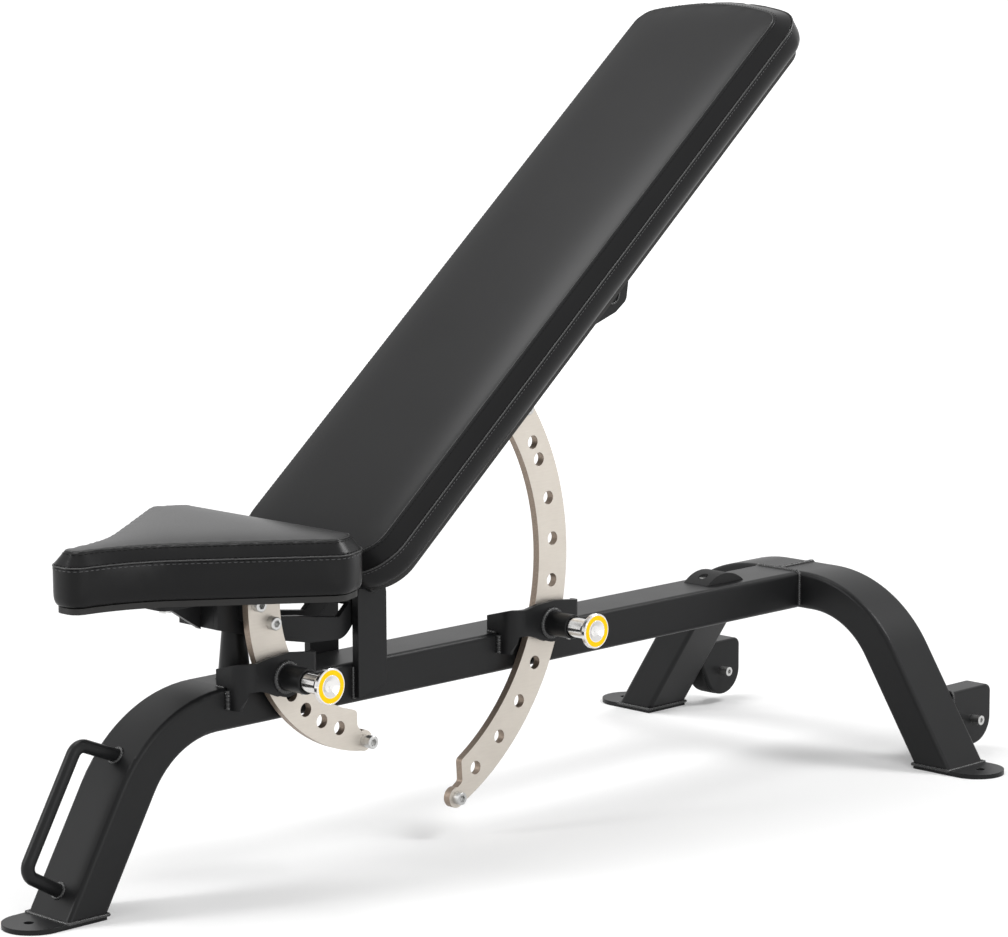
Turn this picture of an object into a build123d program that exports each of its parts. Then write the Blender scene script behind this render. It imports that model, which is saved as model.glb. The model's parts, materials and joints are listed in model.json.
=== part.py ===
from build123d import *
from math import sin, cos, tan, asin, acos, atan2, pi, sqrt, radians, degrees
import os

os.makedirs("parts", exist_ok=True)

# Frame: +X runs from the seat nose to the wheels, -Y is the side with the pull pins, Z = 0 is the floor.

# main frame tube, 76.2 x 50.8 mm
TUBE_WIDTH = 76.2
TUBE_DEPTH = 50.8
TUBE_CORNER = 6.0
TUBE_WALL = 3.0
TUBE_BEND_IN = 112.0
TUBE_BEND_OUT = 190.0
BEAM_TOP = 242.0
BEAM_BOTTOM = BEAM_TOP - TUBE_DEPTH
BEAM_SIDE = TUBE_WIDTH / 2
BEAM_FRONT = -458.5
BEAM_REAR = 584.5
FRONT_LEG_TURN = 60.0

# rear legs: each runs out level, bends down and leans outwards
LEG_LEVEL = 59.0
LEG_TURN = 57.0
LEG_MID_X = BEAM_REAR + TUBE_WIDTH / 2
LEG_REAR_X = BEAM_REAR + TUBE_WIDTH

# foot plates with one floor bolt hole each
FOOT_LENGTH = 113.0
FOOT_THICK = 6.0
FOOT_HOLE_R = 6.0
FOOT_HOLE_EDGE = 30.0
FRONT_FOOT_TIP = -745.5
REAR_FOOT_TIP = 354.0

# carry handle
HANDLE_R = 8.0
HANDLE_BEND = 15.0

# wheels and their brackets
WHEEL_R = 35.0
WHEEL_TO_LEG = 9.8
AXLE_X = LEG_REAR_X + WHEEL_R + WHEEL_TO_LEG
AXLE_Z = WHEEL_R + 14.0
HUB_R = 20.0
WHEEL_WIDTH = 28.0
BRACKET_IN = 209.0
BRACKET_OUT = 247.0
BRACKET_MID = (BRACKET_IN + BRACKET_OUT) / 2
BRACKET_SHEET = 4.0
BRACKET_NOSE_R = WHEEL_R + 0.5
BRACKET_NOSE_X = AXLE_X + 3.0
BRACKET_REAR = BRACKET_NOSE_X + BRACKET_NOSE_R
BRACKET_TOP = AXLE_Z + BRACKET_NOSE_R + 8.0
BRACKET_CORNER = 10.0
BRACKET_EDGE_R = 3.5
AXLE_R = 4.0
AXLE_SPACER = 6.0
WHEEL_GAP = 0.5

# pivot of seat and backrest
PIVOT_X = -222.0
PIVOT_Z = 338.3
SHAFT_R = 10.0
BOSS_R = 21.0
FIT = 0.05
UPRIGHT_THICK = 10.5
UPRIGHT_WIDTH = 47.0
UPRIGHT_FACE = BEAM_SIDE + UPRIGHT_THICK
PIVOT_CAP_R = 11.0
PIVOT_CAP_THICK = 6.0
PIVOT_SCREW_R = 4.0

# sector plates with the position holes, one for the seat and one for the backrest
SECTOR_BACK_FACE = 45.0
SECTOR_THICK = 10.0
SECTOR_FACE = SECTOR_BACK_FACE + SECTOR_THICK
SECTOR_BAND = 49.5
SECTOR_CORNER = 6.5
HOLE_R = 8.6
HOLE_STEP = 10.0
BACK_PITCH_R = 306.7
SEAT_PITCH_R = 179.3
PIN_Z = 249.0
BACK_PIN_ANGLE = -degrees(asin((PIVOT_Z - PIN_Z) / BACK_PITCH_R))
SEAT_PIN_ANGLE = degrees(asin((PIVOT_Z - PIN_Z) / SEAT_PITCH_R)) - 180
BACK_PIN_X = PIVOT_X + sqrt(BACK_PITCH_R ** 2 - (PIVOT_Z - PIN_Z) ** 2)
SEAT_PIN_X = PIVOT_X - sqrt(SEAT_PITCH_R ** 2 - (PIVOT_Z - PIN_Z) ** 2)
DECLINE_STEP = 44.7
STOP_R = 13.0
SCREW_R = 5.0
SCREW_HEAD_R = 8.0
SCREW_HEAD = 10.0

# clamp straps and pull pins
STRAP_FACE = 66.0
STRAP_THICK = 6.0
STRAP_IN = STRAP_FACE - STRAP_THICK
STRAP_FRONT = 68.0
STRAP_REAR = 51.5
STRAP_FRONT_BEND = 22.0
STRAP_REAR_BEND = 8.0
BARREL_R = 15.5
BARREL_END = 104.0
COUNTERBORE_R = 12.6
COUNTERBORE_FLOOR = 85.0
PIN_R = 7.9
PIN_CLEAR = 1.0
NECK_R = 12.3
NECK_START = BARREL_END - 1.5
KNOB_START = 127.0
KNOB_FACE = 144.5
KNOB_R = 22.0
RING_OUT_R = 19.8
RING_IN_R = 13.8
SET_SCREW_R = 3.0
SET_SCREW_Y = 96.0

# seat
SEAT_NOSE = -660.0
SEAT_NOSE_HALF = 24.3
SEAT_NOSE_R = 21.3
WAIST_X = -583.8
WAIST_HALF = 33.2
WAIST_R = 200.0
HIP_X = -386.7
HIP_HALF = 183.6
HIP_R = 28.0
SEAT_REAR = -331.8
SEAT_REAR_HALF = 162.0
SEAT_REAR_R = 40.0
SEAT_BOTTOM = 362.5
SEAT_WALL = 47.5
SEAT_SLANT = 17.4
SEAT_SLANT_IN = 14.2
SEAT_BOARD = 7.2
SEAT_BOARD_INSET = 6.0
BACK_BOARD = 12.0
BACK_BOARD_INSET = 16.0
MOUNT_THICK = 6.0
CHEEK_OUT = BEAM_SIDE - 3.1
CHEEK_IN = CHEEK_OUT - 8.0
BOX_FRONT = -455.5
BOX_REAR = -391.5
BOX_FRONT_LOW = 312.0
BOX_REAR_LOW = 295.0
POST_X = -401.5
POST_R_LOW = 20.0
POST_R_TOP = 14.0
POST_TOP = 305.0
POST_GAP = 0.3

# backrest, drawn along its own length from the pivot
BACK_ANGLE = 40.0
BACK_LOW = -42.0
BACK_HIGH = 972.0
BACK_ARCH_R = 400.0
BACK_HALF = 140.0
BACK_UNDER = 35.3
BACK_WALL = 33.0
BACK_SLANT = 16.7
BACK_SLANT_IN = 21.0
SPINE_HALF = 25.0
SPINE_END = 705.0
SPINE_UNDER = -27.0

# rubber rest for the backrest frame
BUMPER_X = 452.0
BUMPER_LENGTH = 73.0
BUMPER_HALF = 21.0
BUMPER_HEIGHT = 13.5
BUMPER_SCREW_AT = 20.5
BUMPER_SCREW_SEAT = 4.5


def polar(radius, angle):
    return (PIVOT_X + radius * cos(radians(angle)), PIVOT_Z + radius * sin(radians(angle)))


def back_plane(across=0.0):
    """Plane of the backrest's side view: local x runs up the backrest, local y away from its frame."""
    along = Vector(cos(radians(BACK_ANGLE)), 0, sin(radians(BACK_ANGLE)))
    return Plane(origin=(PIVOT_X, -across, PIVOT_Z), x_dir=along, z_dir=(0, -1, 0))


def back_face(height):
    """Plane parallel to the backrest's faces at a height above the pivot: local x runs up the backrest."""
    along = Vector(cos(radians(BACK_ANGLE)), 0, sin(radians(BACK_ANGLE)))
    normal = Vector(-sin(radians(BACK_ANGLE)), 0, cos(radians(BACK_ANGLE)))
    origin = Vector(PIVOT_X, 0, PIVOT_Z) + normal * height
    return Plane(origin=origin, x_dir=along, z_dir=normal)


def save(name, part):
    part.part.label = name
    export_step(part.part, "parts/" + name + ".step")


def circles_at(part, y):
    """Circular edges that lie in the plane at that y."""
    return part.edges().filter_by(GeomType.CIRCLE).filter_by_position(Axis.Y, y - 0.1, y + 0.1)


def bent_profile(level, turn, inset=0.0, past=0.0):
    """Side view of a level tube that bends down by an angle, from its start to the floor plate.

    inset shrinks it all round for the bore; past runs both ends on.
    """
    half = tan(radians(turn / 2))
    lean = tan(radians(90 - turn))
    top = BEAM_TOP - inset
    low = BEAM_BOTTOM + inset
    outer = level + (TUBE_BEND_IN + TUBE_DEPTH - inset) * half
    inner = level + (TUBE_BEND_IN + inset) * half
    foot = FOOT_THICK - past
    with BuildSketch(mode=Mode.PRIVATE) as face:
        Polygon(
            (-past, top), (outer, top), (outer + (top - foot) * lean, foot),
            (inner + (low - foot) * lean, foot), (inner, low), (-past, low), align=None,
        )
        outer_corner = face.vertices().sort_by(lambda v: abs(v.X - outer) + abs(v.Y - top))[0:1]
        fillet(outer_corner, TUBE_BEND_OUT - inset)
        inner_corner = face.vertices().sort_by(lambda v: abs(v.X - inner) + abs(v.Y - low))[0:1]
        fillet(inner_corner, TUBE_BEND_IN + inset)
    return face.sketch


def bent_bar(plane, level, turn):
    """The bent tube filled in, with rounded long edges."""
    with BuildPart() as bar:
        with BuildSketch(plane):
            add(bent_profile(level, turn))
        extrude(amount=BEAM_SIDE, both=True)
        across = plane.z_dir
        long_edges = [
            e for e in bar.edges()
            if abs(abs((e.center() - plane.origin).dot(across)) - BEAM_SIDE) < 0.01
            and e.center().Z > FOOT_THICK + 0.01
            and abs((e.center() - plane.origin).dot(plane.x_dir)) > 0.01
        ]
        fillet(long_edges, TUBE_CORNER)
    return bar


def bent_bore(plane, level, turn):
    with BuildPart() as bore:
        with BuildSketch(plane):
            add(bent_profile(level, turn, TUBE_WALL, 10.0))
        extrude(amount=BEAM_SIDE - TUBE_WALL, both=True)
    return bore


# ---- frame ----

# main tube: level beam that bends down into the front leg
MAIN_PLANE = Plane(origin=(BEAM_REAR, 0, 0), x_dir=(-1, 0, 0), z_dir=(0, 1, 0))
MAIN_LEVEL = BEAM_REAR - BEAM_FRONT
main_bar = bent_bar(MAIN_PLANE, MAIN_LEVEL, FRONT_LEG_TURN)
with BuildPart() as main_frame_tube:
    add(main_bar.part)
    add(bent_bore(MAIN_PLANE, MAIN_LEVEL, FRONT_LEG_TURN).part, mode=Mode.SUBTRACT)
save("main_frame_tube", main_frame_tube)

# rear legs, joined at the middle
for side, name in ((-1, "rear_leg_near"), (1, "rear_leg_far")):
    leg_plane = Plane(origin=(LEG_MID_X, 0, 0), x_dir=(0, side, 0), z_dir=(side, 0, 0))
    with BuildPart() as rear_leg:
        add(bent_bar(leg_plane, LEG_LEVEL, LEG_TURN).part)
        add(bent_bore(leg_plane, LEG_LEVEL, LEG_TURN).part, mode=Mode.SUBTRACT)
        split(bisect_by=Plane.XZ, keep=Keep.TOP if side < 0 else Keep.BOTTOM)
    save(name, rear_leg)

# foot plates: same plate three times, tip outwards
FEET = (
    ("foot_plate_front", FRONT_FOOT_TIP, 0, 0),
    ("foot_plate_near", LEG_MID_X, -REAR_FOOT_TIP, 90),
    ("foot_plate_far", LEG_MID_X, REAR_FOOT_TIP, -90),
)
for name, tip_x, tip_y, turn in FEET:
    with BuildPart() as foot:
        with BuildSketch(Plane.XY) as outline:
            with Locations(Location((tip_x, tip_y, 0), (0, 0, turn))):
                with Locations((BEAM_SIDE, 0)):
                    Circle(BEAM_SIDE)
                with Locations(((BEAM_SIDE + FOOT_LENGTH) / 2, 0)):
                    Rectangle(FOOT_LENGTH - BEAM_SIDE, TUBE_WIDTH)
                with Locations((FOOT_HOLE_EDGE, 0)):
                    Circle(FOOT_HOLE_R, mode=Mode.SUBTRACT)
        extrude(amount=FOOT_THICK)
    save(name, foot)

# carry handle: bar bent round at both ends onto the front face of the front leg
HANDLE_POINTS = ((-560, 169), (-640, 202), (-720.5, 63), (-650, 22))
with BuildPart() as carry_handle:
    with BuildLine(Plane.XZ) as path:
        FilletPolyline(*HANDLE_POINTS, radius=HANDLE_BEND)
    with BuildSketch(Plane(origin=path.line @ 0, z_dir=path.line % 0)):
        Circle(HANDLE_R)
    sweep(path=path.line)
    # both ends are coped to the leg
    add(main_bar.part, mode=Mode.SUBTRACT)
save("carry_handle", carry_handle)

# wheel brackets, wheels and axles


def nose(angle):
    return (BRACKET_NOSE_X + BRACKET_NOSE_R * cos(angle), AXLE_Z + BRACKET_NOSE_R * sin(angle))


# the cut-back front edge runs tangent into the round nose
CUT_BACK = (LEG_REAR_X, AXLE_Z + 17)
CUT_REACH = sqrt((CUT_BACK[0] - BRACKET_NOSE_X) ** 2 + (CUT_BACK[1] - AXLE_Z) ** 2)
NOSE_END = atan2(CUT_BACK[1] - AXLE_Z, CUT_BACK[0] - BRACKET_NOSE_X) + acos(BRACKET_NOSE_R / CUT_REACH) - 2 * pi
for side, tag in ((-1, "near"), (1, "far")):
    with BuildPart() as bracket:
        with BuildSketch(Plane.XZ.offset(-side * BRACKET_MID)) as outline:
            with BuildLine():
                edge = Polyline(
                    nose(NOSE_END), CUT_BACK, (LEG_REAR_X, BRACKET_TOP), (BRACKET_REAR, BRACKET_TOP),
                    (BRACKET_REAR, AXLE_Z),
                )
                ThreePointArc(edge @ 1, nose(NOSE_END / 2), edge @ 0)
            make_face()
            fillet(outline.vertices().sort_by(lambda v: v.X + 2 * v.Y)[-1:], BRACKET_CORNER)
        extrude(amount=(BRACKET_OUT - BRACKET_IN) / 2, both=True)
        fillet(bracket.faces().sort_by(Axis.Z)[-1].edges().filter_by(Axis.X), BRACKET_EDGE_R)
        inner = BRACKET_OUT - BRACKET_IN - 2 * BRACKET_SHEET
        with BuildSketch(Plane.XZ.offset(-side * BRACKET_MID)):
            with Locations((AXLE_X, BRACKET_TOP / 2 - BRACKET_SHEET)):
                Rectangle(4 * BRACKET_NOSE_R, BRACKET_TOP)
        extrude(amount=inner / 2, both=True, mode=Mode.SUBTRACT)
        with Locations(Location((AXLE_X, side * BRACKET_MID, AXLE_Z), (90, 0, 0))):
            Cylinder(AXLE_R + FIT, 60, mode=Mode.SUBTRACT)
    save("wheel_bracket_" + tag, bracket)

    with BuildPart() as hub:
        with Locations(Location((AXLE_X, side * BRACKET_MID, AXLE_Z), (90, 0, 0))):
            Cylinder(HUB_R, WHEEL_WIDTH)
            Cylinder(AXLE_R + FIT, WHEEL_WIDTH, mode=Mode.SUBTRACT)
    save("wheel_hub_" + tag, hub)

    with BuildPart() as tyre:
        with Locations(Location((AXLE_X, side * BRACKET_MID, AXLE_Z), (90, 0, 0))):
            Cylinder(WHEEL_R, WHEEL_WIDTH)
            Cylinder(HUB_R, WHEEL_WIDTH, mode=Mode.SUBTRACT)
        fillet(tyre.edges().filter_by(GeomType.CIRCLE).sort_by(SortBy.RADIUS)[-2:], 3)
    save("wheel_tyre_" + tag, tyre)

# bolt heads sit on the -Y side of both brackets, on short spacers; the nuts are opposite
BRACKET_WIDTH = BRACKET_OUT - BRACKET_IN
with BuildPart() as axle_bolts:
    for side in (-1, 1):
        near_face = side * BRACKET_MID - BRACKET_WIDTH / 2
        with BuildSketch(Plane.XZ.offset(-near_face + AXLE_SPACER)):
            with Locations((AXLE_X, AXLE_Z)):
                Circle(6.5)
        extrude(amount=8)
        with BuildSketch(Plane.XZ.offset(-near_face + AXLE_SPACER)):
            with Locations((AXLE_X, AXLE_Z)):
                Circle(AXLE_R)
        extrude(amount=-(AXLE_SPACER + BRACKET_WIDTH + 9))
        with BuildSketch(Plane.XZ.offset(-near_face + AXLE_SPACER + 8)):
            with Locations((AXLE_X, AXLE_Z)):
                RegularPolygon(3.4, 6)
        extrude(amount=-4, mode=Mode.SUBTRACT)
save("axle_bolts", axle_bolts)

with BuildPart() as axle_spacers:
    for side in (-1, 1):
        with BuildSketch(Plane.XZ.offset(-side * BRACKET_MID + BRACKET_WIDTH / 2)):
            with Locations((AXLE_X, AXLE_Z)):
                Circle(6.3)
                Circle(AXLE_R + FIT, mode=Mode.SUBTRACT)
        extrude(amount=AXLE_SPACER)
save("axle_spacers", axle_spacers)

with BuildPart() as axle_nuts:
    for side in (-1, 1):
        with BuildSketch(Plane.XZ.offset(-side * BRACKET_MID - BRACKET_WIDTH / 2)):
            with Locations((AXLE_X, AXLE_Z)):
                RegularPolygon(7.5, 6)
                Circle(AXLE_R + FIT, mode=Mode.SUBTRACT)
        extrude(amount=-7)
save("axle_nuts", axle_nuts)

# rubber rest on the beam: an arch along X, screwed down through a recess on each slope
BUMPER_ARCH_R = ((BUMPER_LENGTH / 2) ** 2 + BUMPER_HEIGHT ** 2) / (2 * BUMPER_HEIGHT)
BUMPER_SCREWS = [(BUMPER_X + way * BUMPER_SCREW_AT, 0, BEAM_TOP + BUMPER_SCREW_SEAT) for way in (-1, 1)]
with BuildPart() as beam_bumper:
    with BuildSketch(Plane.XZ):
        with Locations((BUMPER_X, BEAM_TOP + BUMPER_HEIGHT - BUMPER_ARCH_R)):
            Circle(BUMPER_ARCH_R)
        with Locations((BUMPER_X, BEAM_TOP + 50)):
            Rectangle(BUMPER_LENGTH, 100, mode=Mode.INTERSECT)
    extrude(amount=BUMPER_HALF, both=True)
    with Locations(*BUMPER_SCREWS):
        Cylinder(6.5, 20, align=(Align.CENTER, Align.CENTER, Align.MIN), mode=Mode.SUBTRACT)
        Cylinder(2.6, 20, mode=Mode.SUBTRACT)
save("beam_bumper", beam_bumper)

with BuildPart() as bumper_screws:
    with Locations(*BUMPER_SCREWS):
        Cylinder(5.5, 3, align=(Align.CENTER, Align.CENTER, Align.MIN))
        Cylinder(2.5, 3.5, align=(Align.CENTER, Align.CENTER, Align.MAX))
save("bumper_screws", bumper_screws)

# ---- uprights and pivot ----

for side, tag in ((-1, "near"), (1, "far")):
    face = BEAM_SIDE if side < 0 else -UPRIGHT_FACE
    with BuildPart() as upright:
        with BuildSketch(Plane.XZ.offset(face)):
            left = PIVOT_X - UPRIGHT_WIDTH / 2
            right = PIVOT_X + UPRIGHT_WIDTH / 2
            Polygon(
                (left, 199), (right, 211), (right, PIVOT_Z - 14), (PIVOT_X + 20.7, PIVOT_Z + 3.3),
                (PIVOT_X - 20.7, PIVOT_Z + 3.3), (left, PIVOT_Z - 14), align=None,
            )
            with Locations((PIVOT_X, PIVOT_Z)):
                Circle(BOSS_R)
                Circle(SHAFT_R, mode=Mode.SUBTRACT)
        extrude(amount=UPRIGHT_THICK)
    save("upright_" + tag, upright)

with BuildPart() as pivot_shaft:
    with Locations(Location((PIVOT_X, 0, PIVOT_Z), (90, 0, 0))):
        Cylinder(SHAFT_R, 2 * UPRIGHT_FACE)
        Cylinder(PIVOT_SCREW_R, 2 * UPRIGHT_FACE, mode=Mode.SUBTRACT)
save("pivot_shaft", pivot_shaft)

with BuildPart() as pivot_cap_screws:
    for side in (-1, 1):
        cap_y = side * (UPRIGHT_FACE + PIVOT_CAP_THICK / 2)
        with Locations(Location((PIVOT_X, cap_y, PIVOT_Z), (90, 0, 0))):
            Cylinder(PIVOT_CAP_R, PIVOT_CAP_THICK)
        with Locations(Location((PIVOT_X, side * (UPRIGHT_FACE - 10), PIVOT_Z), (90, 0, 0))):
            Cylinder(PIVOT_SCREW_R, 20)
save("pivot_cap_screws", pivot_cap_screws)

WASHER_THICK = BEAM_SIDE - CHEEK_OUT - 2 * FIT
with BuildPart() as pivot_washers:
    for side in (-1, 1):
        washer_y = side * (BEAM_SIDE - FIT - WASHER_THICK / 2)
        with Locations(Location((PIVOT_X, washer_y, PIVOT_Z), (90, 0, 0))):
            Cylinder(17, WASHER_THICK)
            Cylinder(SHAFT_R + FIT, WASHER_THICK, mode=Mode.SUBTRACT)
save("pivot_washers", pivot_washers)

# tapered post the seat frame rests on when it is level
with BuildPart() as seat_rest_post:
    with Locations(Location((POST_X, 0, (BEAM_TOP + POST_TOP) / 2))):
        Cone(POST_R_LOW, POST_R_TOP, POST_TOP - BEAM_TOP)
    # its top follows the sloping underside of the seat frame
    slope = (BOX_REAR_LOW - BOX_FRONT_LOW) / (BOX_REAR - BOX_FRONT)
    front_z = BOX_FRONT_LOW + slope * (POST_X - 30 - BOX_FRONT) - POST_GAP
    with BuildSketch(Plane.XZ):
        Polygon(
            (POST_X - 30, BEAM_TOP), (POST_X + 30, BEAM_TOP), (POST_X + 30, front_z + 60 * slope),
            (POST_X - 30, front_z), align=None,
        )
    extrude(amount=30, both=True, mode=Mode.INTERSECT)
save("seat_rest_post", seat_rest_post)

# ---- clamp straps, barrels and pull pins ----

for pin_x, tag in ((SEAT_PIN_X, "seat"), (BACK_PIN_X, "back")):
    left = pin_x - STRAP_FRONT
    right = pin_x + STRAP_REAR
    with BuildPart() as strap:
        # strip bent to a U, seen from above
        with BuildSketch(Plane.XY.offset(210)) as strip:
            Polygon((left, -STRAP_FACE), (right, -STRAP_FACE), (right, -18), (left, -18), align=None)
            fillet(strip.vertices().group_by(Axis.Y)[0].sort_by(Axis.X)[0:1], STRAP_FRONT_BEND)
            fillet(strip.vertices().group_by(Axis.Y)[0].sort_by(Axis.X)[-1:], STRAP_REAR_BEND)
            with BuildSketch(mode=Mode.PRIVATE) as hollow:
                Polygon(
                    (left + STRAP_THICK, -STRAP_IN), (right - STRAP_THICK, -STRAP_IN),
                    (right - STRAP_THICK, 0), (left + STRAP_THICK, 0), align=None,
                )
                fillet(hollow.vertices().group_by(Axis.Y)[0].sort_by(Axis.X)[0:1], STRAP_FRONT_BEND - STRAP_THICK)
                fillet(hollow.vertices().group_by(Axis.Y)[0].sort_by(Axis.X)[-1:], STRAP_REAR_BEND - STRAP_THICK)
            add(hollow.sketch, mode=Mode.SUBTRACT)
        extrude(amount=80)
        # outline from the side: long front flange, round lobe under the barrel, short rear flange
        with BuildSketch(Plane.XZ):
            Polygon(
                (left, 216), (left, 272), (pin_x - 44, 272), (pin_x - 22, 276), (pin_x + 10, 277), (right, 272),
                (right, BEAM_TOP), (pin_x + 26, 233), (pin_x + 20, 229), (pin_x - 14, 227.5),
                (pin_x - 26, 233), (pin_x - 42, 238), (left + STRAP_THICK + 6, 238),
                (left + STRAP_THICK + 2, 216), align=None,
            )
            with Locations((pin_x + 3, 251)):
                Circle(26.5)
        extrude(amount=STRAP_FACE + 1, mode=Mode.INTERSECT)
        # outline from the front: seat over the beam, sloping top, cut-back lower corner
        with BuildSketch(Plane.YZ.offset(left)):
            Polygon((-BEAM_SIDE, BEAM_TOP), (-10, BEAM_TOP), (-10, 200), (-BEAM_SIDE, 200), align=None)
            Polygon((-STRAP_FACE - 1, 240), (-56, 219), (-56, 200), (-STRAP_FACE - 1, 200), align=None)
        extrude(amount=20, mode=Mode.SUBTRACT)
        with BuildSketch(Plane.YZ.offset(left)):
            Polygon((-BEAM_SIDE, BEAM_TOP), (-10, BEAM_TOP), (-10, 200), (-BEAM_SIDE, 200), align=None)
            Polygon((-10, 260), (-STRAP_IN + 6, 272), (-STRAP_IN + 6, 290), (-10, 290), align=None)
        extrude(amount=right - left, mode=Mode.SUBTRACT)
        with Locations(Location((pin_x, -STRAP_FACE, PIN_Z), (90, 0, 0))):
            Cylinder(PIN_R + 0.1, 4 * STRAP_THICK, mode=Mode.SUBTRACT)
    save(tag + "_clamp_strap", strap)

    with BuildPart() as barrel:
        with BuildSketch(Plane.XZ.offset(STRAP_FACE)):
            with Locations((pin_x, PIN_Z)):
                Circle(BARREL_R)
        extrude(amount=BARREL_END - STRAP_FACE)
        with BuildSketch(Plane.XZ.offset(STRAP_FACE)):
            with Locations((pin_x, PIN_Z)):
                Circle(PIN_R + 0.1)
        extrude(amount=BARREL_END - STRAP_FACE, mode=Mode.SUBTRACT)
        with BuildSketch(Plane.XZ.offset(COUNTERBORE_FLOOR)):
            with Locations((pin_x, PIN_Z)):
                Circle(COUNTERBORE_R)
        extrude(amount=BARREL_END - COUNTERBORE_FLOOR, mode=Mode.SUBTRACT)
        with Locations((pin_x, -SET_SCREW_Y, PIN_Z - BARREL_R)):
            Cylinder(SET_SCREW_R, 12, mode=Mode.SUBTRACT)
        chamfer(circles_at(barrel, -BARREL_END), 0.8)
    save(tag + "_pin_barrel", barrel)

    # pin drawn back so that its tip just clears the sector; the travel inwards engages it
    tip = SECTOR_FACE + PIN_CLEAR
    with BuildPart() as pull_pin:
        with BuildSketch(Plane.XY):
            with BuildLine():
                shank = Polyline(
                    (0, -tip), (PIN_R - 1.5, -tip), (PIN_R, -tip - 1.5), (PIN_R, -NECK_START),
                    (NECK_R, -NECK_START), (NECK_R, -KNOB_START),
                )
                flare_mid = (NECK_R + 2.4, -KNOB_START - 6)
                flare = ThreePointArc(shank @ 1, flare_mid, (NECK_R + 7.7, -KNOB_START - 10))
                rim = Polyline(
                    flare @ 1, (KNOB_R, -KNOB_START - 12), (KNOB_R, -KNOB_FACE + 1),
                    (KNOB_R - 1, -KNOB_FACE), (RING_OUT_R, -KNOB_FACE), (RING_OUT_R, -KNOB_FACE + 1),
                    (RING_IN_R, -KNOB_FACE + 1), (RING_IN_R, -KNOB_FACE), (RING_IN_R - 1, -KNOB_FACE),
                    (RING_IN_R / 2, -KNOB_FACE + 3), (0, -KNOB_FACE + 4),
                )
                Line(rim @ 1, shank @ 0)
            make_face()
        revolve(axis=Axis.Y)
    with BuildPart() as pull_pin_placed:
        add(pull_pin.part.moved(Location((pin_x, 0, PIN_Z))))
    save(tag + "_pull_pin", pull_pin_placed)

    with BuildPart() as ring:
        with BuildSketch(Plane.XZ.offset(KNOB_FACE - 1)):
            with Locations((pin_x, PIN_Z)):
                Circle(RING_OUT_R)
                Circle(RING_IN_R, mode=Mode.SUBTRACT)
        extrude(amount=1)
    save(tag + "_pin_ring", ring)

SET_SCREW_TOP = PIN_Z - COUNTERBORE_R - 0.3
SET_SCREW_LOW = PIN_Z - BARREL_R - 0.8
SET_SCREW_SPOTS = ((SEAT_PIN_X, -SET_SCREW_Y), (BACK_PIN_X, -SET_SCREW_Y))
with BuildPart() as pin_set_screws:
    with BuildSketch(Plane.XY.offset(SET_SCREW_LOW)):
        with Locations(*SET_SCREW_SPOTS):
            Circle(SET_SCREW_R)
            RegularPolygon(1.6, 6, mode=Mode.SUBTRACT)
    extrude(amount=2)
    with BuildSketch(Plane.XY.offset(SET_SCREW_LOW + 2)):
        with Locations(*SET_SCREW_SPOTS):
            Circle(SET_SCREW_R)
    extrude(amount=SET_SCREW_TOP - SET_SCREW_LOW - 2)
save("pin_set_screws", pin_set_screws)

# ---- sector plates ----


def sector(pitch_r, top_angle, inner_end, outer_end, neck, stop, hole_angles, screw_spots):
    """Arc plate round the pivot with position holes; its end necks down to a lobe for the stop screw.

    neck is the corner between arc and lobe, the radius that rounds it and a point within the lobe.
    """
    inner = pitch_r - SECTOR_BAND / 2
    outer = pitch_r + SECTOR_BAND / 2
    inner_mid = polar(inner, (top_angle + inner_end) / 2)
    outer_mid = polar(outer, (top_angle + outer_end) / 2)
    with BuildPart() as plate:
        with BuildSketch(Plane.XZ.offset(SECTOR_BACK_FACE)) as shape:
            with BuildLine():
                ThreePointArc(polar(inner, top_angle), inner_mid, polar(inner, inner_end))
                Polyline(polar(inner, inner_end), neck[0], neck[2], stop, polar(outer, outer_end))
                ThreePointArc(polar(outer, outer_end), outer_mid, polar(outer, top_angle))
                Line(polar(outer, top_angle), polar(inner, top_angle))
            make_face()
            with Locations(stop):
                Circle(STOP_R)
            for (x, z), radius in ((polar(inner, inner_end), SECTOR_CORNER), neck[0:2]):
                fillet(shape.vertices().sort_by(lambda v: abs(v.X - x) + abs(v.Y - z))[0:1], radius)
        extrude(amount=SECTOR_THICK)
        with BuildSketch(Plane.XZ.offset(SECTOR_BACK_FACE)):
            with Locations(*[polar(pitch_r, a) for a in hole_angles]):
                Circle(HOLE_R)
            with Locations(*screw_spots, stop):
                Circle(SCREW_R)
        extrude(amount=SECTOR_THICK, mode=Mode.SUBTRACT)
    return plate


def cap_screws(spots, length, collar=0.0):
    """Socket head screws on the sector's face, with hexagon sockets; collar lifts the head on a plain ring."""
    under = SECTOR_FACE + collar
    with BuildPart() as screws:
        if collar > 0:
            with BuildSketch(Plane.XZ.offset(SECTOR_FACE)):
                with Locations(*spots):
                    Circle(SCREW_HEAD_R - 0.8)
            extrude(amount=collar)
        with BuildSketch(Plane.XZ.offset(under)):
            with Locations(*spots):
                Circle(SCREW_HEAD_R)
        extrude(amount=SCREW_HEAD)
        chamfer(circles_at(screws, -under - SCREW_HEAD), 0.8)
        with BuildSketch(Plane.XZ.offset(SECTOR_FACE)):
            with Locations(*spots):
                Circle(SCREW_R)
        extrude(amount=-length)
        with BuildSketch(Plane.XZ.offset(under + SCREW_HEAD)):
            with Locations(*spots):
                RegularPolygon(4.6, 6)
        extrude(amount=-5, mode=Mode.SUBTRACT)
    return screws


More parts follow.
